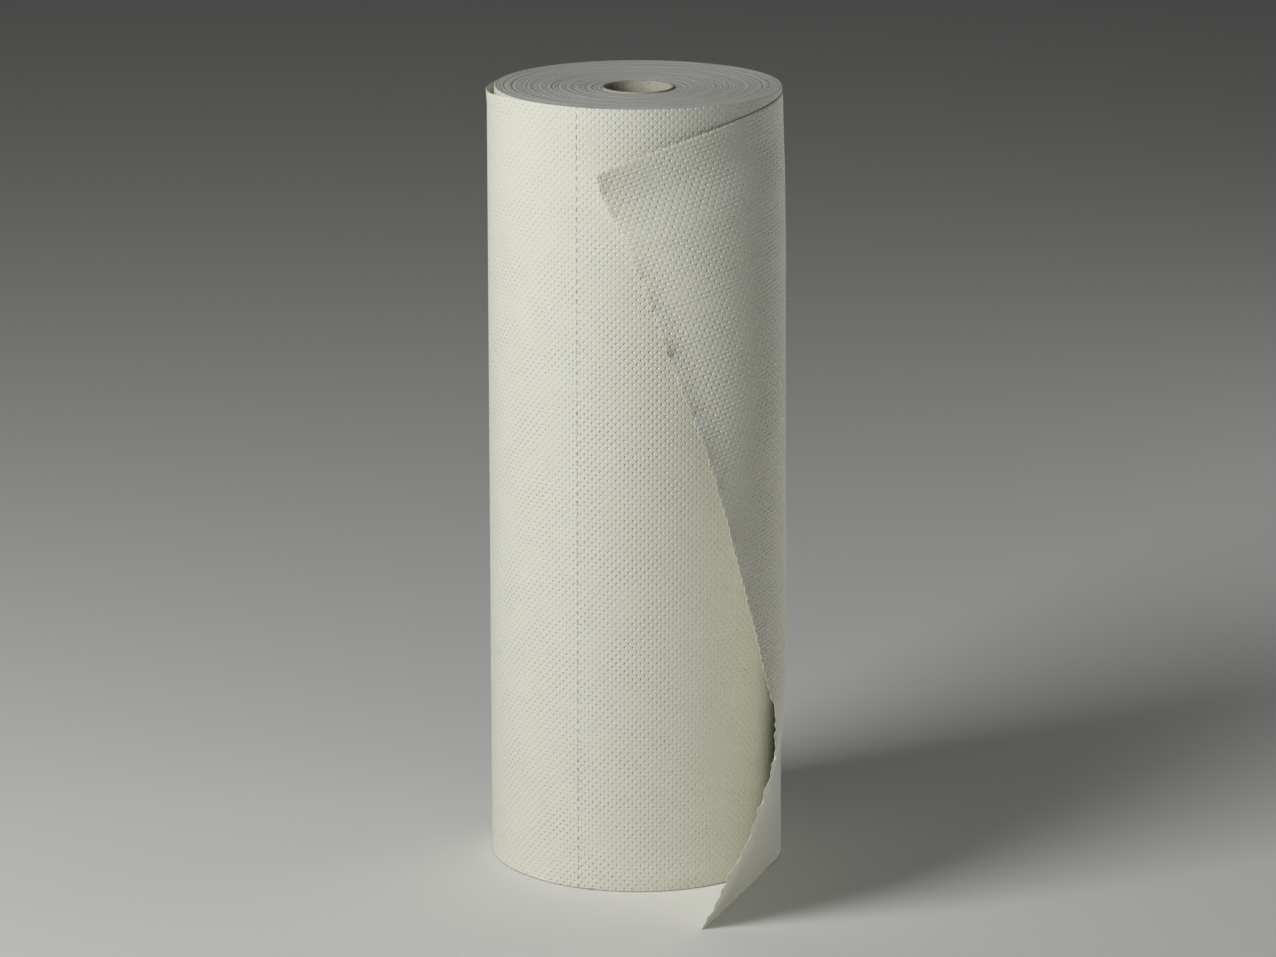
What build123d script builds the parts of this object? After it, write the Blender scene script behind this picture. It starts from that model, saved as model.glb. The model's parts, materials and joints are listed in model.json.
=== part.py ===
from build123d import *
import os
from math import cos, radians, sin

# Exam table paper roll standing on its end, in millimetres.
# The origin is on the roll's axis at the floor, and the loose end comes round to the front (-Y).

# Paper web and the tightly wound turns
WEB_WIDTH = 500.0
ROLL_RADIUS = 89.7
SHEET_THICKNESS = 0.4

# Groups of turns that were wound a little high or low and show as rings on the end faces
TURN_GROUPS = 6
GROUP_SHIFT = 0.6
GOLDEN_SHARE = 0.618

# Hollow of the upper end face, which sinks from the rim to the core
END_DISH = 2.1

# Board tube that the web is wound on
CORE_BORE_RADIUS = 21.2
CORE_WALL = 1.5
CORE_PROUD = 0.9
CORE_CLEARANCE = 0.1
CORE_EDGE = 0.3

# Last turn, which has sprung loose from the front left, round the back, to the right side
LEFT_GAP = 4.5
RIGHT_GAP = 1.5
LEFT_DROP = 2.5
RIGHT_DROP = 4.0
LANDING_ANGLE = 26.0
LANDING_DEPTH = 0.8

# Loose end, from the right side of the roll to its torn edge.
# It starts inside the wall of the loosened turn, a little thinner and lower, so that the two are one sheet.
SEAM_LAP = 2.0
SEAM_INSET = 0.06
SEAM_STEP = 0.3
FOOT_LIFT = 0.2
BESIDE_LENGTH = 30.0
FREE_LENGTH = 140.0
CORNER_DROP = 38.0
DROP_POWER = 2.0

# Level lines of the loose end from its top edge down to the floor. Each runs straight to the front
# and then curls to the left, most at the start of the curl and less towards the torn edge:
# share of the height, turn of the curl, straight share of the length, tuck beside the roll (degrees)
LEVELS = (
    (0.00, 93.0, 0.026, 0.0),
    (0.10, 90.0, 0.182, 0.0),
    (0.23, 80.5, 0.333, 0.0),
    (0.35, 63.5, 0.455, 0.0),
    (0.48, 47.0, 0.553, 0.0),
    (0.61, 33.0, 0.673, 0.0),
    (0.72, 15.5, 0.800, 0.8),
    (0.84, 8.5, 0.820, 6.3),
    (1.00, 0.0, 0.830, 20.0),
)
CURL_POWER = 1.25

# Stations of the loose end's surface
FREE_STATIONS = 14
LEVEL_STATIONS = 16
STATION_STEPS = 8
SURFACE_TOLERANCE = 0.4
SURFACE_DEGREE = 3

core_radius = CORE_BORE_RADIUS + CORE_WALL
paper_bore = core_radius + CORE_CLEARANCE
end_length = BESIDE_LENGTH + FREE_LENGTH
turn_radius = ROLL_RADIUS + (LEFT_GAP + RIGHT_GAP) / 2
turn_centre = (RIGHT_GAP - LEFT_GAP) / 2
end_start = turn_centre + turn_radius + SHEET_THICKNESS / 2 - SEAM_INSET
end_drop = RIGHT_DROP + SEAM_STEP


def slope_at(row, column):
    """Slope of a LEVELS column at one of its rows, flat at a turning point."""
    slopes = []
    for upper, lower in ((row - 1, row), (row, row + 1)):
        if 0 <= upper and lower < len(LEVELS):
            rise = LEVELS[lower][column] - LEVELS[upper][column]
            slopes.append(rise / (LEVELS[lower][0] - LEVELS[upper][0]))
    if len(slopes) == 1:
        return slopes[0]
    if slopes[0] * slopes[1] <= 0:
        return 0.0
    return 2 * slopes[0] * slopes[1] / (slopes[0] + slopes[1])


def level_value(share, column):
    """Value of a LEVELS column at a share of the height, on a smooth curve through its rows."""
    row = 0
    while row < len(LEVELS) - 2 and share > LEVELS[row + 1][0]:
        row += 1
    span = LEVELS[row + 1][0] - LEVELS[row][0]
    u = (share - LEVELS[row][0]) / span
    start, end = LEVELS[row][column], LEVELS[row + 1][column]
    start_slope, end_slope = slope_at(row, column) * span, slope_at(row + 1, column) * span
    return (
        (1 + 2 * u) * (1 - u) ** 2 * start
        + u * (1 - u) ** 2 * start_slope
        + u * u * (3 - 2 * u) * end
        + u * u * (u - 1) * end_slope
    )


def heading(travel, share):
    """Heading of a level line, turned from -Y towards -X, travel millimetres past the right side."""
    beside = min(max(travel / BESIDE_LENGTH, 0.0), 1.0)
    straight = level_value(share, 2)
    curled = max((travel / end_length - straight) / (1 - straight), 0.0)
    turn = level_value(share, 1) * (1 - (1 - curled) ** CURL_POWER)
    return radians(level_value(share, 3) * beside + turn)


def level_line(share):
    """Points of one level line of the loose end's outer face, from the seam to the torn edge."""
    x, y, travel = end_start, SEAM_LAP, -SEAM_LAP
    step = (end_length + SEAM_LAP) / (FREE_STATIONS * STATION_STEPS)
    line = []
    for count in range(FREE_STATIONS * STATION_STEPS + 1):
        if count % STATION_STEPS == 0:
            drop = end_drop + (CORNER_DROP - end_drop) * max(travel / end_length, 0.0) ** DROP_POWER
            line.append((x, y, FOOT_LIFT + (WEB_WIDTH - drop - FOOT_LIFT) * (1 - share)))
        way = heading(min(travel + step / 2, end_length), share)
        x -= step * sin(way)
        y -= step * cos(way)
        travel += step
    return line


def loose_end():
    """The loose end: a curved sheet through its level lines, with the paper's thickness."""
    rows = [level_line(level / LEVEL_STATIONS) for level in range(LEVEL_STATIONS + 1)]
    surface = Face.make_surface_from_array_of_points(
        rows, tol=SURFACE_TOLERANCE, min_deg=SURFACE_DEGREE, max_deg=SURFACE_DEGREE
    )
    return Solid.thicken(surface, SHEET_THICKNESS - 2 * SEAM_INSET, normal_override=(-1, 0, 0))


def loosened_turn():
    """The last turn, standing off the roll from its right side to where it lands at the front left."""
    left = (turn_centre - turn_radius, 0)
    landing_radius = ROLL_RADIUS - LANDING_DEPTH
    landing_angle = radians(180 + LANDING_ANGLE)
    landing = (landing_radius * cos(landing_angle), landing_radius * sin(landing_angle))
    around = CenterArc((turn_centre, 0), turn_radius, 0, 180)
    closing = TangentArc(left, landing, tangent=(0, -1))
    turn = extrude(trace([around, closing], SHEET_THICKNESS), WEB_WIDTH)
    middle_drop = (LEFT_DROP + RIGHT_DROP) / 2
    top_edge = Plane(
        origin=(turn_centre, 0, WEB_WIDTH - middle_drop),
        z_dir=(RIGHT_DROP - LEFT_DROP, 0, 2 * turn_radius),
    )
    return split(turn, bisect_by=top_edge, keep=Keep.BOTTOM)


def group_shift(group):
    """Step of a group of turns in from the end face, counted from the outside."""
    return GROUP_SHIFT * ((group * GOLDEN_SHARE) % 1)


def wound_turns():
    """The tight turns: a ring of paper whose end faces step from one group of turns to the next."""
    width = (ROLL_RADIUS - paper_bore) / TURN_GROUPS
    sink = END_DISH / TURN_GROUPS
    outline = []
    for group in range(TURN_GROUPS):
        outer = ROLL_RADIUS - group * width
        top = WEB_WIDTH - group_shift(group) - group * sink
        outline.append((outer, top))
        outline.append((outer - width, top - sink))
    for group in reversed(range(TURN_GROUPS)):
        outer = ROLL_RADIUS - group * width
        outline.append((outer - width, group_shift(group)))
        outline.append((outer, group_shift(group)))
    profile = make_face(Plane.XZ * Polyline(*outline, close=True))
    return revolve(profile, Axis.Z)


def paper_roll():
    """The whole web as one solid: tight turns, loosened last turn and torn loose end."""
    return wound_turns() + (loosened_turn() + loose_end())


def core_tube():
    """Board tube in the middle of the roll, standing a little proud of the turns next to it."""
    length = WEB_WIDTH - END_DISH + CORE_PROUD
    half_profile = Polyline(
        (CORE_BORE_RADIUS, 0),
        (core_radius, 0),
        (core_radius, length - CORE_EDGE),
        (core_radius - CORE_EDGE, length),
        (CORE_BORE_RADIUS, length),
        close=True,
    )
    return revolve(make_face(Plane.XZ * half_profile), Axis.Z)


os.makedirs("parts", exist_ok=True)
export_step(paper_roll(), "parts/paper_roll.step")
export_step(core_tube(), "parts/core_tube.step")
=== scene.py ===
import json
import math
import random

import bmesh
import bpy
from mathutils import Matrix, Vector, noise


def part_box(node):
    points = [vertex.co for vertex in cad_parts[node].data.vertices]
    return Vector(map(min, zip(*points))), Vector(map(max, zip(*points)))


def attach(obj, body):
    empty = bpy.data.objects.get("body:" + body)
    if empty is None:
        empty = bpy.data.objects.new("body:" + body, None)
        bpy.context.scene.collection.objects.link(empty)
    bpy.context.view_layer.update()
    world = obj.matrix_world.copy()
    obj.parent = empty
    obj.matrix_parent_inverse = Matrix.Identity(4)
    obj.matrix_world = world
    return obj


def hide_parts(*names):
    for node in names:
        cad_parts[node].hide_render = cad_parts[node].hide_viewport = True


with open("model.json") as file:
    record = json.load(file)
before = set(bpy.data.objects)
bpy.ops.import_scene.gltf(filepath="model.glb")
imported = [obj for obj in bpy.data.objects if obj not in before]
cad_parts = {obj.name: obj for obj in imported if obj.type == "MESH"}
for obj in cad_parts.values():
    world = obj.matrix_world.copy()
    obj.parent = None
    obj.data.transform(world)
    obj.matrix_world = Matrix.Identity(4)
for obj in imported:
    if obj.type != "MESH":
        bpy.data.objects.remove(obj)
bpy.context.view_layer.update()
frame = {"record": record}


# Board core: a tube of grey-brown recycled board, wound from three plies on a slant.
# It is cut off square, stands a little proud of the paper at the top, and the web is wound on it.
core_mount = next(m for m in frame["record"]["mounts"] if m["name"] == "core_bore")
core_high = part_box("core_tube")[1]
CORE_BORE = core_mount["dims"]["r_mm"] / 1000
CORE_OUTER = core_high.x
CORE_TOP = core_high.z
CORE_PLIES = 3
PLY_GROOVE = 0.00022
CORE_EDGE = 0.00025
CORE_LEVELS = 40
CORE_SEGMENTS = 160
RIM_UNEVEN = 0.00016
RIM_BUMPS = 220
RIM_SINK = 0.6
SEAM_PITCH = 0.118
SEAM_WIDTH = 0.006
SEAM_TONE = 0.35
STREAKS = 95.0
STREAK_TONE = 0.7
STREAK_MM = 0.12
BOARD_CLOUDS = 160
CLOUD_TONE = 0.6
BOARD_FIBRES = 900
BOARD_FIBRE_STRETCH = (1, 1, 0.45)
BOARD_FIBRE_TONE = 0.8
BOARD_FIBRE_MM = 0.25
SPECKS = 1500
SPECK_RANGE = (0.66, 0.74)
SPECK_TONE = 0.5
BOARD_TONE = -0.55
BOARD_PALE = (0.60, 0.58, 0.48, 1)
BOARD_DARK = (0.37, 0.355, 0.285, 1)
BOARD_ROUGH = 0.92
MATT_SHINE = 0.2
MILLIMETRE = 0.001
SAME_PLACE = 1e-6


def node(tree, kind, inputs=None, **settings):
    """Add a shader node, set its properties and its input sockets, and return it."""
    made = tree.nodes.new(kind)
    for name, value in settings.items():
        setattr(made, name, value)
    for name, value in (inputs or {}).items():
        if isinstance(value, bpy.types.NodeSocket):
            tree.links.new(value, made.inputs[name])
        else:
            made.inputs[name].default_value = value
    return made


def calc(tree, operation, first, second=0.0, third=0.0):
    """Output of a math node."""
    return node(tree, "ShaderNodeMath", {0: first, 1: second, 2: third}, operation=operation).outputs[0]


def ease(tree, value, low, high, out_low=0.0, out_high=1.0):
    """Output of a smooth map from low..high to out_low..out_high."""
    limits = {"Value": value, "From Min": low, "From Max": high, "To Min": out_low, "To Max": out_high}
    return node(tree, "ShaderNodeMapRange", limits, interpolation_type="SMOOTHSTEP").outputs["Result"]


def blotches(tree, place, scale, detail=2.0, stretch=(1, 1, 1)):
    """Output of a noise texture, 0 to 1, at a place that may be stretched."""
    stretched = node(tree, "ShaderNodeMapping", {"Vector": place, "Scale": stretch}).outputs["Vector"]
    inputs = {"Vector": stretched, "Scale": scale, "Detail": detail}
    return node(tree, "ShaderNodeTexNoise", inputs).outputs["Fac"]


def stripes(tree, distance, scale, detail):
    """Output of a noise texture, 0 to 1, that changes along one distance only."""
    inputs = {"W": distance, "Scale": scale, "Detail": detail}
    return node(tree, "ShaderNodeTexNoise", inputs, noise_dimensions="1D").outputs["Fac"]


def blend_colours(tree, share, first, second):
    """Output of a colour mix."""
    return node(tree, "ShaderNodeMix", {0: share, 6: first, 7: second}, data_type="RGBA").outputs[2]


def new_material(name):
    """A fresh node material and its node tree."""
    material = bpy.data.materials.new(name)
    material.use_nodes = True
    return material, material.node_tree


def matt_surface(material, colour, height_mm, roughness, shine):
    """Give a material a matt shader with a colour, and a bump whose height is in millimetres."""
    tree = material.node_tree
    shader = tree.nodes["Principled BSDF"]
    bump = node(tree, "ShaderNodeBump", {"Strength": 1.0, "Distance": MILLIMETRE, "Height": height_mm})
    tree.links.new(colour, shader.inputs["Base Color"])
    tree.links.new(bump.outputs["Normal"], shader.inputs["Normal"])
    shader.inputs["Roughness"].default_value = roughness
    shader.inputs["Specular IOR Level"].default_value = shine
    return shader


def core_board():
    """Recycled board: mottled fibres, dark specks and the slanting seam of the wound strip."""
    material, tree = new_material("core_board")
    place = node(tree, "ShaderNodeTexCoord").outputs["Object"]
    axes = node(tree, "ShaderNodeSeparateXYZ", {"Vector": place}).outputs
    turn = calc(tree, "DIVIDE", calc(tree, "ARCTAN2", axes["X"], axes["Y"]), 2 * math.pi)
    slant = calc(tree, "SUBTRACT", calc(tree, "DIVIDE", axes["Z"], SEAM_PITCH), turn)
    off_seam = calc(tree, "ABSOLUTE", calc(tree, "SUBTRACT", calc(tree, "FRACT", slant), 0.5))
    seam = ease(tree, off_seam, 0.0, SEAM_WIDTH, SEAM_TONE, 0.0)
    specks = ease(tree, blotches(tree, place, SPECKS, 1), *SPECK_RANGE, 0.0, SPECK_TONE)
    streaks = stripes(tree, slant, STREAKS, 2)
    clouds = blotches(tree, place, BOARD_CLOUDS, 4)
    fibres = blotches(tree, place, BOARD_FIBRES, 3, BOARD_FIBRE_STRETCH)
    tone = calc(tree, "MULTIPLY_ADD", clouds, CLOUD_TONE, BOARD_TONE)
    tone = calc(tree, "MULTIPLY_ADD", fibres, BOARD_FIBRE_TONE, tone)
    tone = calc(tree, "MULTIPLY_ADD", streaks, STREAK_TONE, tone)
    board = blend_colours(tree, tone, BOARD_DARK, BOARD_PALE)
    colour = blend_colours(tree, calc(tree, "MAXIMUM", specks, seam), board, BOARD_DARK)
    height = calc(tree, "MULTIPLY_ADD", fibres, BOARD_FIBRE_MM, calc(tree, "MULTIPLY", streaks, STREAK_MM))
    matt_surface(material, colour, height, BOARD_ROUGH, MATT_SHINE)
    return material


def spun(bm, outline, segments):
    """Spin an outline of (radius, height) points all the way round the upright axis."""
    corners = [bm.verts.new((radius, 0, height)) for radius, height in outline]
    sides = [bm.edges.new(pair) for pair in zip(corners, corners[1:] + corners[:1])]
    bmesh.ops.spin(
        bm, geom=corners + sides, cent=(0, 0, 0), axis=(0, 0, 1), angle=2 * math.pi,
        steps=segments, use_merge=True, use_duplicate=False,
    )
    bmesh.ops.remove_doubles(bm, verts=bm.verts, dist=SAME_PLACE)
    bmesh.ops.recalc_face_normals(bm, faces=bm.faces)


def placed(bm, name, materials):
    """Turn a bmesh into an object of the scene with its materials."""
    mesh = bpy.data.meshes.new(name)
    bm.to_mesh(mesh)
    bm.free()
    for material in materials:
        mesh.materials.append(material)
    made = bpy.data.objects.new(name, mesh)
    bpy.context.scene.collection.objects.link(made)
    return made


def finished(bm, name, materials):
    """Turn a bmesh into a smooth-shaded piece of the object that takes its finish from a slot."""
    for face in bm.faces:
        face.smooth = True
    piece = placed(bm, name, materials)
    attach(piece, "root")
    return piece


def core_outline():
    """Section of the tube: square foot, rounded outer rim, a shallow groove between plies, the bore."""
    ply = (CORE_OUTER - CORE_BORE) / CORE_PLIES
    outline = [(CORE_BORE, 0), (CORE_OUTER, 0), (CORE_OUTER, CORE_TOP - CORE_EDGE)]
    outline.append((CORE_OUTER - CORE_EDGE / 2, CORE_TOP - CORE_EDGE / 4))
    for joint in range(1, CORE_PLIES):
        radius = CORE_OUTER - joint * ply
        outline.append((radius + PLY_GROOVE / 2, CORE_TOP))
        outline.append((radius, CORE_TOP - PLY_GROOVE))
        outline.append((radius - PLY_GROOVE / 2, CORE_TOP))
    outline.append((CORE_BORE + CORE_EDGE / 2, CORE_TOP - CORE_EDGE / 4))
    for level in range(CORE_LEVELS):
        outline.append((CORE_BORE, (CORE_TOP - CORE_EDGE) * (1 - level / CORE_LEVELS)))
    return outline


bm = bmesh.new()
spun(bm, core_outline(), CORE_SEGMENTS)
for vert in bm.verts:
    if vert.co.z > CORE_TOP - 2 * CORE_EDGE:
        vert.co.z += RIM_UNEVEN * (noise.noise(vert.co * RIM_BUMPS) - RIM_SINK)
core = finished(bm, "board_core", [core_board()])
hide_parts("core_tube")


# Tight turns: two-ply crepe paper, embossed all over with small dimples, wound hard on the core.
# The edges of the turns show on both ends as fine rings, and a few groups of turns stand proud.
WEB_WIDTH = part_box("paper_roll")[1].z
ROLL_RADIUS = 0.0897
CORE_CLEARANCE = 0.0001
PAPER_BORE = CORE_OUTER + CORE_CLEARANCE
ROLL_SEGMENTS = 360
WALL_LEVELS = 40
WALL_FACING = 0.8
RIM_ROUND = 0.0007
FOOT_ROUND = 0.0014
ROUND_IN = 0.3
FOOT_ROUND_UP = 0.4
FOOT_SINK = 0.0003
TOP_RINGS = 124
FOOT_RINGS = 44
RING_DEPTH = 0.00032
RING_UNEVEN = 0.00006
RING_BUMPS = (30, 30, 900)
CORE_PROUD = 0.0009
END_DISH = WEB_WIDTH - CORE_TOP + CORE_PROUD
BORE_SINK = 0.0003
RIDGES = ((0.617, 0.00016), (0.76, 0.00024), (0.896, 0.00024), (0.965, 0.00014))
RIDGE_WIDTH = 0.0007
WALL_WAVE = 0.00022
WALL_BUMPS = (14, 14, 9)
WAVE_FROM = -0.02
WAVE_RAMP = 0.05

# Embossing, crepe and fibres of the paper, with a painted highlight beside each dimple
EMBOSS_CELL = 0.0051
SWAY = 0.0009
SWAYS = 70.0
DIMPLE_RADIUS = 0.00110
DIMPLE_DEPTH_MM = 0.76
PRESSES = 45
PRESS_RANGE = (0.30, 0.68)
PRESS_LEAST = 0.55
FIRM_LEVELS = (0.30, 0.47)
FIRM_TOP = 0.68
# Painted highlight: a pale, glossier spot set off to the lower right of each dimple, on the side that the
# lamp at the left lights
HIGHLIGHT_OFFSET = (0.00045, -0.0002, 0)
HIGHLIGHT_INNER = 0.1 * DIMPLE_RADIUS
HIGHLIGHT_OUTER = 0.8 * DIMPLE_RADIUS
CREPE_STRETCH = (55, 1150, 1)
CREPE_MM = 0.11
PAPER_FIBRES = 1500
PAPER_FIBRE_MM = 0.07
MOTTLES = 28
MOTTLE_TONE = 0.35
PAPER_CREAM = (0.78, 0.78, 0.685, 1)
PAPER_SHADE = (0.69, 0.68, 0.575, 1)
# Colour of the painted highlight in the dimples
PAINTED_HIGHLIGHT = (0.96, 0.965, 0.89, 1)
PAPER_ROUGH = 0.88
DIMPLE_ROUGH = 0.40
PAPER_SHINE = 0.5

# Line of slits down the web, at the front left of the roll, darkened with painted shade in the cuts
PERFORATION_ANGLE = math.radians(-24.6)
SLIT_PITCH = 0.0064
SLIT_SHARE = 0.40
SLIT_FADE = 0.06
SLIT_HALF_WIDTH = 0.00040
SLIT_MIDDLE = 0.35 * SLIT_HALF_WIDTH
SLIT_DEPTH_MM = 0.25
SLIT_PAINTED_SHADE = (0.50, 0.485, 0.41, 1)

# Cut edges of the turns on the end faces
RING_BEND = 0.0011
RING_BENDS = 22
FINE_RINGS = 2300.0
FINE_TONE = 0.75
FINE_MM = 0.22
BROAD_RINGS = 620.0
BROAD_TONE = 1.1
EDGE_FUZZ = 1400
FUZZ_TONE = 0.25
FUZZ_MM = 0.10
EDGE_TONE = -0.50
# Painted light: how much paler the cut edges are where they face outwards
FACING_LIGHT_TONE = 1.0
EDGE_PALE = (0.85, 0.845, 0.795, 1)
EDGE_DARK = (0.54, 0.535, 0.495, 1)
EDGE_ROUGH = 0.9
ring_chance = random.Random(11)


def smooth_step(share):
    """Ease from 0 to 1 as share goes from 0 to 1."""
    share = min(max(share, 0.0), 1.0)
    return share * share * (3 - 2 * share)


def bumps(place, scales):
    """Smooth random value, about -1 to 1, at a place, with a scale for each axis."""
    return noise.noise(Vector([length * scale for length, scale in zip(place, scales)]))


def vector(tree, operation, first, second=(0, 0, 0), third=(0, 0, 0), output="Vector"):
    """Output of a vector math node."""
    inputs = {0: first, 1: second, 2: third}
    return node(tree, "ShaderNodeVectorMath", inputs, operation=operation).outputs[output]


def web_places(tree):
    """The web's own map, in metres along it and up it, and the same map swaying as the dimples do."""
    web = node(tree, "ShaderNodeUVMap", uv_map="web").outputs["UV"]
    inputs = {"Vector": web, "Scale": SWAYS, "Detail": 1.0}
    sway = node(tree, "ShaderNodeTexNoise", inputs).outputs["Color"]
    return web, vector(tree, "MULTIPLY_ADD", sway, (SWAY,) * 3, web)


def from_dimple(tree, place):
    """Distance from a place on the web to the middle of the nearest dimple, in metres."""
    step = EMBOSS_CELL / math.sqrt(2)
    turned = {"Vector": place, "Rotation": (0, 0, math.radians(45)), "Scale": (1 / step,) * 3}
    lattice = node(tree, "ShaderNodeMapping", turned).outputs["Vector"]
    inputs = {"Vector": lattice, "Scale": 1.0, "Randomness": 0.0}
    cells = node(tree, "ShaderNodeTexVoronoi", inputs, voronoi_dimensions="2D")
    return calc(tree, "MULTIPLY", cells.outputs["Distance"], step)


def in_slit(tree, ways):
    """How far a place on the web is inside one of the slits, 0 to 1."""
    off_line = calc(tree, "ABSOLUTE", calc(tree, "SUBTRACT", ways["X"], PERFORATION_ANGLE * ROLL_RADIUS))
    on_line = ease(tree, off_line, SLIT_MIDDLE, SLIT_HALF_WIDTH, 1.0, 0.0)
    along = calc(tree, "FRACT", calc(tree, "DIVIDE", ways["Y"], SLIT_PITCH))
    return calc(tree, "MULTIPLY", on_line, ease(tree, along, SLIT_SHARE, SLIT_SHARE + SLIT_FADE, 1.0, 0.0))


def paper_finish(name):
    """Embossed crepe paper on the web's own map: dimples with a painted highlight at one side, crepe,
    fibres, and slits darkened with painted shade.
    """
    material, tree = new_material(name)
    web, swaying = web_places(tree)
    ways = node(tree, "ShaderNodeSeparateXYZ", {"Vector": web}).outputs
    firm = ease(tree, ways["Y"], *FIRM_LEVELS, 1.0, FIRM_TOP)
    pressed = ease(tree, blotches(tree, web, PRESSES), *PRESS_RANGE, PRESS_LEAST, 1.0)
    pressed = calc(tree, "MULTIPLY", pressed, firm)
    dimple = ease(tree, from_dimple(tree, swaying), 0.0, DIMPLE_RADIUS, 1.0, 0.0)
    dimple = calc(tree, "MULTIPLY", dimple, pressed)
    # Painted highlight: a pale spot set off from each dimple towards the lit side, also smoother there
    beside = vector(tree, "SUBTRACT", swaying, HIGHLIGHT_OFFSET)
    glossy_highlight = ease(tree, from_dimple(tree, beside), HIGHLIGHT_INNER, HIGHLIGHT_OUTER, 1.0, 0.0)
    glossy_highlight = calc(tree, "MULTIPLY", glossy_highlight, pressed)
    crepe = blotches(tree, web, 1.0, 3, CREPE_STRETCH)
    fibres = blotches(tree, web, PAPER_FIBRES)
    slit = in_slit(tree, ways)
    height = calc(tree, "MULTIPLY_ADD", crepe, CREPE_MM, calc(tree, "MULTIPLY", fibres, PAPER_FIBRE_MM))
    height = calc(tree, "MULTIPLY_ADD", dimple, -DIMPLE_DEPTH_MM, height)
    height = calc(tree, "MULTIPLY_ADD", slit, -SLIT_DEPTH_MM, height)
    mottle = calc(tree, "MULTIPLY", blotches(tree, web, MOTTLES, 4), MOTTLE_TONE)
    colour = blend_colours(tree, mottle, PAPER_CREAM, PAPER_SHADE)
    # Painted highlight laid into the colour
    colour = blend_colours(tree, glossy_highlight, colour, PAINTED_HIGHLIGHT)
    # Painted shade: the slits are darkened in the colour, as the shade inside the cuts
    colour = blend_colours(tree, slit, colour, SLIT_PAINTED_SHADE)
    shader = matt_surface(material, colour, height, PAPER_ROUGH, PAPER_SHINE)
    tree.links.new(ease(tree, glossy_highlight, 0.0, 1.0, PAPER_ROUGH, DIMPLE_ROUGH), shader.inputs["Roughness"])
    return material


def turn_edges():
    """Cut edges of the turns: fine grey rings round the axis, with painted light that makes each paler where
    it faces outwards.
    """
    material, tree = new_material("turn_edges")
    place = node(tree, "ShaderNodeTexCoord").outputs["Object"]
    flat = vector(tree, "MULTIPLY", place, (1, 1, 0))
    radius = vector(tree, "LENGTH", flat, output="Value")
    bent = calc(tree, "MULTIPLY_ADD", blotches(tree, place, RING_BENDS, 1), RING_BEND, radius)
    fine = stripes(tree, bent, FINE_RINGS, 1)
    broad = stripes(tree, bent, BROAD_RINGS, 2)
    fuzz = blotches(tree, place, EDGE_FUZZ)
    facing = node(tree, "ShaderNodeNewGeometry").outputs["Normal"]
    # Painted light: the edges are paler where the surface faces outwards and darker where it faces inwards
    painted_facing_light = vector(tree, "DOT_PRODUCT", facing, vector(tree, "NORMALIZE", flat), output="Value")
    tone = calc(tree, "MULTIPLY_ADD", broad, BROAD_TONE, EDGE_TONE)
    tone = calc(tree, "MULTIPLY_ADD", fine, FINE_TONE, tone)
    tone = calc(tree, "MULTIPLY_ADD", fuzz, FUZZ_TONE, tone)
    tone = calc(tree, "MULTIPLY_ADD", painted_facing_light, FACING_LIGHT_TONE, tone)
    colour = blend_colours(tree, tone, EDGE_DARK, EDGE_PALE)
    height = calc(tree, "MULTIPLY_ADD", fine, FINE_MM, calc(tree, "MULTIPLY", fuzz, FUZZ_MM))
    matt_surface(material, colour, height, EDGE_ROUGH, MATT_SHINE)
    return material


def ridge_height(radius):
    """How far the groups of turns near a radius stand proud of the end face."""
    height = 0.0
    for share, proud in RIDGES:
        off = (radius - share * ROLL_RADIUS) / RIDGE_WIDTH
        height += proud * math.exp(-off * off)
    return height


def end_rings(rings, dish):
    """Rings of one end face from the rim inwards, as (radius, depth below the rim's level)."""
    made = []
    for ring in range(1, rings):
        share = ring / rings
        radius = ROLL_RADIUS - RIM_ROUND - share * (ROLL_RADIUS - RIM_ROUND - PAPER_BORE)
        made.append((radius, dish * share + RING_DEPTH * ring_chance.random() - ridge_height(radius)))
    return made


def roll_outline():
    """Section of the tight turns: foot rings, rounded foot, wall, rounded rim, top rings and the bore."""
    foot = [(radius, depth + FOOT_SINK) for radius, depth in reversed(end_rings(FOOT_RINGS, FOOT_SINK))]
    outline = [(PAPER_BORE, 2 * FOOT_SINK)] + foot + [(ROLL_RADIUS - FOOT_ROUND, 0)]
    outline.append((ROLL_RADIUS - FOOT_ROUND * ROUND_IN, FOOT_ROUND * FOOT_ROUND_UP))
    outline.append((ROLL_RADIUS, FOOT_ROUND))
    for level in range(1, WALL_LEVELS):
        outline.append((ROLL_RADIUS, RIM_ROUND + (WEB_WIDTH - 2 * RIM_ROUND) * level / WALL_LEVELS))
    outline.append((ROLL_RADIUS, WEB_WIDTH - RIM_ROUND))
    outline.append((ROLL_RADIUS - RIM_ROUND * ROUND_IN, WEB_WIDTH - RIM_ROUND * ROUND_IN))
    outline.append((ROLL_RADIUS - RIM_ROUND, WEB_WIDTH))
    outline += [(radius, WEB_WIDTH - depth) for radius, depth in end_rings(TOP_RINGS, END_DISH)]
    return outline + [(PAPER_BORE, WEB_WIDTH - END_DISH - BORE_SINK)]


def map_web(bm, distance_at):
    """Lay the web's own map on every face: metres along the web and metres up."""
    layer = bm.loops.layers.uv.new("web")
    for face in bm.faces:
        middle = face.calc_center_median()
        for loop in face.loops:
            loop[layer].uv = (distance_at(loop.vert.co, middle), loop.vert.co.z)


def round_roll(place, middle):
    """Metres round the roll from its front, on the same side of the seam as the face's middle."""
    angle = math.atan2(place.x, -place.y)
    about = math.atan2(middle.x, -middle.y)
    if angle - about > math.pi:
        angle -= 2 * math.pi
    if about - angle > math.pi:
        angle += 2 * math.pi
    return angle * ROLL_RADIUS


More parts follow.
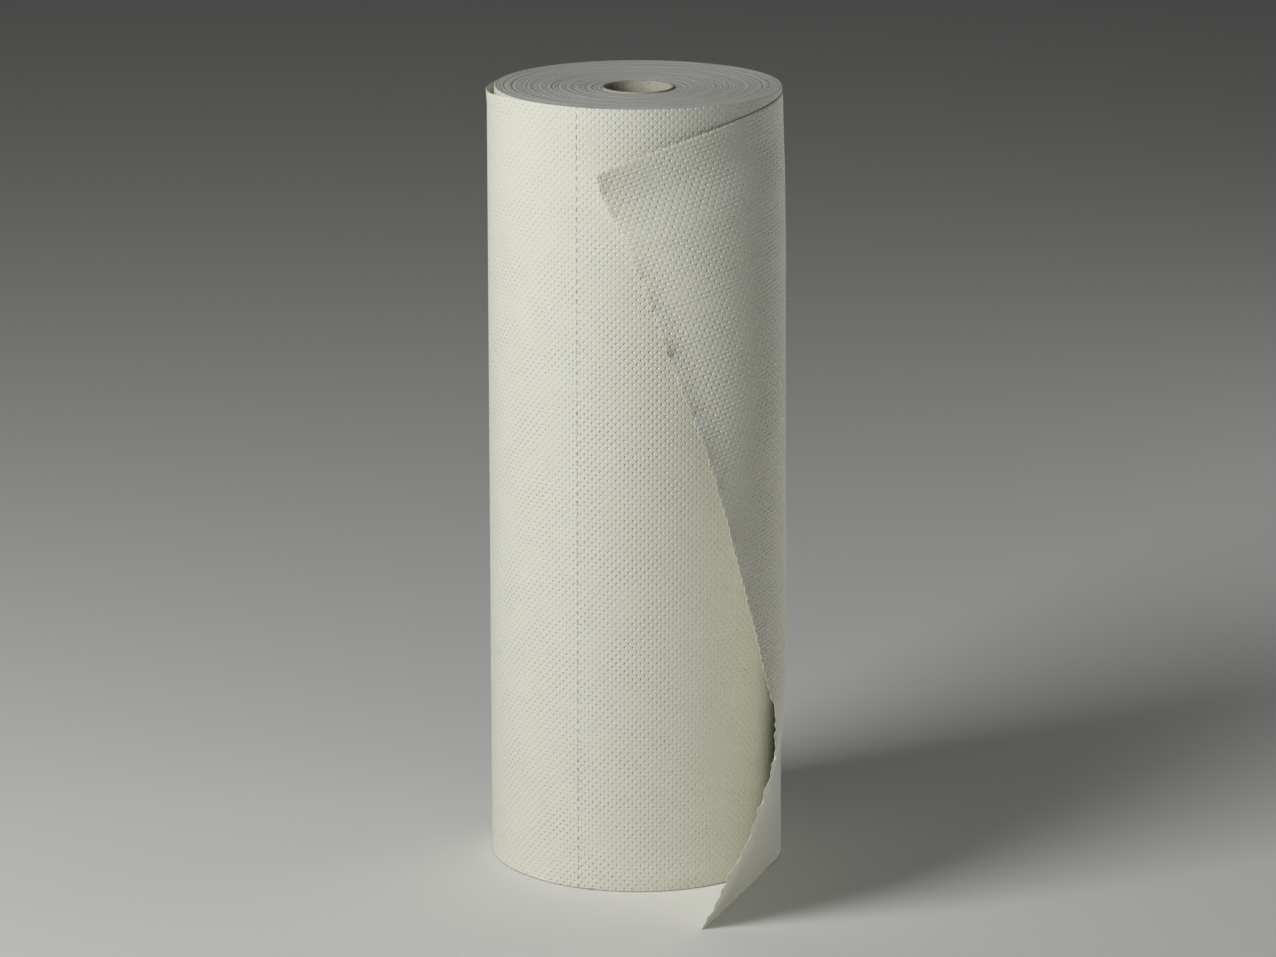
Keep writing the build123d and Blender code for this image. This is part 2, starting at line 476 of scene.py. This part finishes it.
bm = bmesh.new()
spun(bm, roll_outline(), ROLL_SEGMENTS)
for vert in bm.verts:
    across = math.hypot(vert.co.x, vert.co.y)
    if across > ROLL_RADIUS - RIM_ROUND / 2:
        swell = WALL_WAVE * bumps(vert.co, WALL_BUMPS) * smooth_step((vert.co.x - WAVE_FROM) / WAVE_RAMP)
        vert.co.x += swell * vert.co.x / across
        vert.co.y += swell * vert.co.y / across
    elif vert.co.z > WEB_WIDTH / 2 and across > PAPER_BORE:
        vert.co.z += RING_UNEVEN * bumps((vert.co.x, vert.co.y, across), RING_BUMPS)
map_web(bm, round_roll)
for face in bm.faces:
    face.material_index = 0 if abs(face.normal.z) < WALL_FACING else 1
wound = finished(bm, "wound_turns", [paper_finish("embossed_paper"), turn_edges()])
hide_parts("paper_roll")


# Last turn and loose end: the same embossed web, sprung off the roll from its front left, round the back.
# At the right side it leaves the roll, and its end, torn off along a line of slits, stands on the floor.
LEFT_GAP = 0.0053
LANDING_DEPTH = 0.00018
TURN_SWEEP = math.radians(252)
GAP_CLOSES = math.radians(165)
DROP_CLOSES = (math.radians(150), math.radians(208))
GAP_OPENS = math.radians(90)
BESIDE_LENGTH = 0.030
FREE_LENGTH = 0.140
END_LENGTH = BESIDE_LENGTH + FREE_LENGTH
RIGHT_DROP = 0.0035
CORNER_DROP = 0.0380
DROP_POWER = 1.95
SHEET_THICKNESS = 0.0003

# Level lines of the loose end from its top edge down: share of the height, turn of the curl in degrees,
# straight share of the length, tuck beside the roll in degrees, distance off the roll at its right side
LEVELS = (
    (0.00, 90.3, 0.008, 0.0, 0.0004),
    (0.04, 90.0, 0.056, 0.0, 0.0008),
    (0.10, 90.0, 0.182, 0.0, 0.0013),
    (0.23, 80.5, 0.333, 0.0, 0.0016),
    (0.35, 63.5, 0.455, 0.0, 0.0016),
    (0.48, 47.0, 0.553, 0.0, 0.0016),
    (0.61, 33.0, 0.673, 0.0, 0.0016),
    (0.72, 15.5, 0.800, 0.8, 0.0018),
    (0.84, 8.5, 0.820, 6.3, 0.0020),
    (1.00, 0.0, 0.830, 20.0, 0.0024),
)
CURL_POWER = 1.25
LINE_STEP = 0.001
SPARE_STEPS = 12
PROBE_STEP = 0.0005

# Grid of the sheet, with close columns at the torn edge
SHEET_COLUMNS = 100
SHEET_ROWS = 380
TURN_SHARE = 0.30
EDGE_SHARE = 0.16
EDGE_ZONE = 0.010

# Torn edge: teeth between the slits, and small curls that grow from each tear down to the next,
# each given by its lower end as a share of the height, and by how far it stands out there
TOOTH_DEPTH = 0.0014
TOOTH_POWER = 0.7
TOOTH_RAGS = 520
TEAR_WANDER = 0.0005
TEAR_WANDERS = (60, 170)
FINE_WANDER = 0.6
EDGE_WAVE = 0.0006
EDGE_WAVES = 38
CURL_WIDTH = 0.0080
CURL_BACK = 0.45
CURL_START = -0.12
TEARS = (
    (0.025, 0.0009), (0.054, 0.0007), (0.134, 0.0009), (0.173, 0.0007), (0.228, 0.0015), (0.300, 0.0005),
    (0.356, 0.0008), (0.394, 0.0007), (0.462, 0.0007), (0.540, 0.0005), (0.620, 0.0005), (0.780, 0.0004),
    (1.000, 0.0003),
)
EDGE_RISE = 0.0021
RISE_WIDTH = 0.014
RISE_STARTS = (0.09, 0.18)
RISE_ENDS = (0.30, 0.52)
FRAY = 0.0022
FRAYS = 190
FRAY_WIDTH = 0.0035
FRAY_STARTS = (0.35, 0.75)

# Flared corner, flared lip of the loosened turn, and soft waves of the loose end
CORNER_FLARE = 0.0048
FLARE_REACH = 0.042
LIP_HEIGHT = 0.012
LIP_FLARE = 0.0009
LIP_WAVES = 45
LIP_FADES = (0.12, 0.05)
SHEET_WAVE = 0.00045
SHEET_WAVES = (18, 30)
WAVE_START = 0.04

# Creases along the rows of dimples, and light that comes through where the paper hangs free
CREASE_MM = 0.15
CREASE_PROFILE = (0.02, 0.26)
CREASE_STRETCH = (26, 210, 1)
CREASE_COVER = (0.38, 0.60)
CREASE_FADE = (0.06, 0.01)
PAPER_GLOW = 0.45
GLOW_FADE = (0.136, 0.089)
GLOW_RADIUS = (1.0, 0.95, 0.8)
GLOW_SCALE = 0.0005
turn_length = TURN_SWEEP * (ROLL_RADIUS + LEFT_GAP)
turn_map = TURN_SWEEP * ROLL_RADIUS
landing_map = (TURN_SWEEP - math.radians(270)) * ROLL_RADIUS
end_map = landing_map - turn_map
level_lines = {}


def slope_at(row, column):
    """Slope of a LEVELS column at one of its rows, flat at a turning point."""
    slopes = []
    for upper, lower in ((row - 1, row), (row, row + 1)):
        if 0 <= upper and lower < len(LEVELS):
            rise = LEVELS[lower][column] - LEVELS[upper][column]
            slopes.append(rise / (LEVELS[lower][0] - LEVELS[upper][0]))
    if len(slopes) == 1:
        return slopes[0]
    if slopes[0] * slopes[1] <= 0:
        return 0.0
    return 2 * slopes[0] * slopes[1] / (slopes[0] + slopes[1])


def level_value(share, column):
    """Value of a LEVELS column at a share of the height, on a smooth curve through its rows."""
    row = 0
    while row < len(LEVELS) - 2 and share > LEVELS[row + 1][0]:
        row += 1
    span = LEVELS[row + 1][0] - LEVELS[row][0]
    u = (share - LEVELS[row][0]) / span
    start, end = LEVELS[row][column], LEVELS[row + 1][column]
    rise_start, rise_end = slope_at(row, column) * span, slope_at(row + 1, column) * span
    value = (1 + 2 * u) * (1 - u) ** 2 * start + u * u * (3 - 2 * u) * end
    return value + u * (1 - u) ** 2 * rise_start + u * u * (u - 1) * rise_end


def turn_point(back, share):
    """Point of the loosened last turn, an angle back behind the roll's right side."""
    stand_off = level_value(share, 4)
    gap = stand_off + (LEFT_GAP - stand_off) * smooth_step(back / GAP_OPENS)
    closed = max(0.0, (back - GAP_CLOSES) / (TURN_SWEEP - GAP_CLOSES))
    closing = 1 - (1 - closed) ** 3 * (1 + 3 * closed)
    radius = ROLL_RADIUS + gap - (LEFT_GAP + LANDING_DEPTH) * closing
    level = (back - DROP_CLOSES[0]) / (DROP_CLOSES[1] - DROP_CLOSES[0])
    drop = RIGHT_DROP * (1 - min(max(level, 0.0), 1.0) ** 3)
    return Vector((radius * math.cos(back), radius * math.sin(back), (WEB_WIDTH - drop) * (1 - share)))


def level_line(share):
    """Places along one level line of the loose end, a step apart: straight, then curling to the left."""
    turn, straight, tuck, stand_off = (level_value(share, column) for column in (1, 2, 3, 4))
    x, y, places = ROLL_RADIUS + stand_off, 0.0, []
    for count in range(int(END_LENGTH / LINE_STEP) + SPARE_STEPS):
        places.append((x, y))
        travel = (count + 0.5) * LINE_STEP
        curled = min(max((travel / END_LENGTH - straight) / (1 - straight), 0.0), 1.0)
        heading = turn * (1 - (1 - curled) ** CURL_POWER) + tuck * min(travel / BESIDE_LENGTH, 1.0)
        x -= LINE_STEP * math.sin(math.radians(heading))
        y -= LINE_STEP * math.cos(math.radians(heading))
    return places


def end_point(travel, share):
    """Point of the loose end, a distance travel past the roll's right side."""
    if share not in level_lines:
        level_lines[share] = level_line(share)
    count = int(travel / LINE_STEP)
    part = travel / LINE_STEP - count
    near, far = level_lines[share][count], level_lines[share][count + 1]
    drop = RIGHT_DROP + (CORNER_DROP - RIGHT_DROP) * (travel / END_LENGTH) ** DROP_POWER
    x, y = (first + (second - first) * part for first, second in zip(near, far))
    return Vector((x, y, (WEB_WIDTH - drop) * (1 - share)))


def sheet_point(travel, share):
    """Point of the whole loose sheet: behind the right side it is the turn, past it the loose end."""
    if travel < 0:
        return turn_point(-travel / turn_length * TURN_SWEEP, share)
    return end_point(travel, share)


def ripple(along, row, layer=0.0):
    """Smooth random value, about -1 to 1, along a line. Row and layer tell the lines apart."""
    return noise.noise(Vector((along, row, layer)))


def torn_reach(share):
    """How far the torn edge stands past or short of the line of slits at a share of the height."""
    along = share * WEB_WIDTH
    tooth = abs(math.sin(math.pi * along / SLIT_PITCH)) ** TOOTH_POWER
    wander = ripple(along * TEAR_WANDERS[0], 3.1) + FINE_WANDER * ripple(along * TEAR_WANDERS[1], 8.4)
    ragged = ripple(along * TOOTH_RAGS, 1.7)
    return TOOTH_DEPTH * (tooth - 0.5) * (1 + ragged) + TEAR_WANDER * wander


def web_travel(column_share, share):
    """Distance along the web for a share of the grid's columns, with close columns at the torn edge."""
    if column_share < TURN_SHARE:
        return -turn_length * (1 - column_share / TURN_SHARE)
    inner = END_LENGTH - EDGE_ZONE
    if column_share < 1 - EDGE_SHARE:
        return inner * (column_share - TURN_SHARE) / (1 - EDGE_SHARE - TURN_SHARE)
    reach = EDGE_ZONE + torn_reach(share)
    return inner + reach * (column_share - 1 + EDGE_SHARE) / EDGE_SHARE


def near_tear(travel, width):
    """Nothing at a width short of the line of slits and further in, rising to 1 at that line."""
    return max(0.0, (travel - END_LENGTH + width) / width)


def between(value, limits):
    """Ease from 0 to 1 as a value goes from the first limit to the second."""
    return smooth_step((value - limits[0]) / (limits[1] - limits[0]))


def edge_lift(share):
    """How far the torn edge curls outwards: from one small tear down to the next it turns from in to out."""
    start = CURL_START
    for end, height in TEARS:
        if share <= end:
            break
        start = end
    down = (share - start) / (end - start)
    lift = height * ((1 + CURL_BACK) * down * down - CURL_BACK)
    return lift + EDGE_WAVE * ripple(share * EDGE_WAVES, 0.4, 2.0)


def sheet_lift(travel, share):
    """How far the sheet stands out of its smooth form: waves, torn edge, flared corner and lip."""
    along = share * WEB_WIDTH
    wave = SHEET_WAVE * ripple(travel * SHEET_WAVES[0], along * SHEET_WAVES[1], 5.0)
    wave *= smooth_step(travel / WAVE_START)
    curl = edge_lift(share) * near_tear(travel, CURL_WIDTH) ** 2
    risen = between(share, RISE_STARTS) * (1 - between(share, RISE_ENDS))
    rise = EDGE_RISE * risen * near_tear(travel, RISE_WIDTH) ** 2
    fray = FRAY * ripple(along * FRAYS, 6.2) * between(share, FRAY_STARTS) * near_tear(travel, FRAY_WIDTH)
    flare = CORNER_FLARE * max(0.0, 1 - math.hypot(END_LENGTH - travel, along) / FLARE_REACH) ** 2
    lip = LIP_FLARE * (0.5 + ripple(travel * LIP_WAVES, 0, 9.0)) * smooth_step(1 - along / LIP_HEIGHT)
    lip *= smooth_step(-travel / LIP_FADES[0]) * smooth_step((turn_length + travel) / LIP_FADES[1])
    return wave + curl + rise + fray + flare + lip


def loose_finish():
    """The same paper where it is loose: creased on its end, and letting light through off the roll."""
    material = paper_finish("loose_paper")
    tree = material.node_tree
    shader = tree.nodes["Principled BSDF"]
    height = tree.nodes["Bump"].inputs["Height"]
    web, swaying = web_places(tree)
    distance = node(tree, "ShaderNodeSeparateXYZ", {"Vector": web}).outputs["X"]
    level = node(tree, "ShaderNodeSeparateXYZ", {"Vector": swaying}).outputs["Y"]
    rows = calc(tree, "FRACT", calc(tree, "DIVIDE", level, EMBOSS_CELL / 2))
    off_row = calc(tree, "ABSOLUTE", calc(tree, "SUBTRACT", rows, 0.5))
    crease = ease(tree, off_row, *CREASE_PROFILE, 1.0, 0.0)
    creased = ease(tree, blotches(tree, web, 1.0, 1, CREASE_STRETCH), *CREASE_COVER)
    loose = ease(tree, distance, end_map - CREASE_FADE[0], end_map - CREASE_FADE[1], 1.0, 0.0)
    crease = calc(tree, "MULTIPLY", calc(tree, "MULTIPLY", crease, creased), loose)
    creased_height = calc(tree, "MULTIPLY_ADD", crease, CREASE_MM, height.links[0].from_socket)
    tree.links.new(creased_height, height)
    glow = ease(tree, distance, landing_map - GLOW_FADE[0], landing_map - GLOW_FADE[1], PAPER_GLOW, 0.0)
    tree.links.new(glow, shader.inputs["Subsurface Weight"])
    shader.inputs["Subsurface Radius"].default_value = GLOW_RADIUS
    shader.inputs["Subsurface Scale"].default_value = GLOW_SCALE
    return material


bm = bmesh.new()
bmesh.ops.create_grid(bm, x_segments=SHEET_COLUMNS, y_segments=SHEET_ROWS, size=0.5)
web_map = bm.loops.layers.uv.new("web")
travels = {}
for vert in bm.verts:
    column_share, share = vert.co.x + 0.5, 0.5 - vert.co.y
    travels[vert.index] = (web_travel(column_share, share), share)
for face in bm.faces:
    for loop in face.loops:
        travel, share = travels[loop.vert.index]
        round_turn = turn_map * (1 + min(travel, 0.0) / turn_length)
        loop[web_map].uv = (landing_map - round_turn - max(travel, 0.0), (1 - share) * WEB_WIDTH)
for vert in bm.verts:
    travel, share = travels[vert.index]
    here = sheet_point(travel, share)
    ahead = sheet_point(travel + PROBE_STEP, share) - here
    outward = Vector((-ahead.y, ahead.x, 0)).normalized()
    vert.co = here + outward * sheet_lift(travel, share)
    vert.co.z = max(vert.co.z, SHEET_THICKNESS)
bmesh.ops.recalc_face_normals(bm, faces=bm.faces)
sheet = finished(bm, "loose_sheet", [loose_finish()])
thickness = sheet.modifiers.new("paper_thickness", "SOLIDIFY")
thickness.thickness = SHEET_THICKNESS
thickness.offset = 0.0
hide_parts("paper_roll")


# Floor, light and camera: a plain pale floor, one large soft lamp from the left and a weak fill.
# The camera stands where the photograph was taken from, a little above the roll and looking down on it.
PHOTO_WIDTH = 1276
FOCAL_PIXELS = 5197.08
SENSOR_WIDTH = 36
CAMERA_PLACE = (0, -3.2, 1.05737)
CAMERA_DIP = 14.2205
FLOOR_HALF = 9.0
FLOOR_PALE = (0.89, 0.89, 0.865, 1)
FLOOR_ROUGH = 0.85
FILL_COLOUR = (1, 1, 1, 1)
FILL_LIGHT = 0.038
LAMPS = (
    ("key_lamp", (-1.58, -1.345, 1.42), 1.1, 1.4, 41),
    ("right_fill", (1.88, 0.60, 0.38), 1.0, 0.6, 9),
)


def soft_lamp(name, place, width, height, watts):
    """A large flat lamp that faces the middle of the roll."""
    data = bpy.data.lights.new(name, "AREA")
    data.shape = "RECTANGLE"
    data.size = width
    data.size_y = height
    data.energy = watts
    lamp = bpy.data.objects.new(name, data)
    lamp.location = place
    aim = Vector((0, 0, WEB_WIDTH / 2)) - Vector(place)
    lamp.rotation_euler = aim.to_track_quat("-Z", "Y").to_euler()
    bpy.context.scene.collection.objects.link(lamp)


for lamp in LAMPS:
    soft_lamp(*lamp)

floor_material, floor_tree = new_material("pale_floor")
floor_shader = floor_tree.nodes["Principled BSDF"]
floor_shader.inputs["Base Color"].default_value = FLOOR_PALE
floor_shader.inputs["Roughness"].default_value = FLOOR_ROUGH
bm = bmesh.new()
bmesh.ops.create_grid(bm, x_segments=1, y_segments=1, size=FLOOR_HALF)
floor = placed(bm, "floor", [floor_material])

world = bpy.data.worlds.new("studio")
world.use_nodes = True
background = world.node_tree.nodes["Background"]
background.inputs["Color"].default_value = FILL_COLOUR
background.inputs["Strength"].default_value = FILL_LIGHT
bpy.context.scene.world = world
bpy.context.scene.view_settings.view_transform = "Standard"

camera_data = bpy.data.cameras.new("camera")
camera_data.sensor_width = SENSOR_WIDTH
camera_data.lens = FOCAL_PIXELS * SENSOR_WIDTH / PHOTO_WIDTH
camera = bpy.data.objects.new("camera", camera_data)
camera.location = CAMERA_PLACE
camera.rotation_euler = (math.radians(90 - CAMERA_DIP), 0, 0)
bpy.context.scene.collection.objects.link(camera)
bpy.context.scene.camera = camera
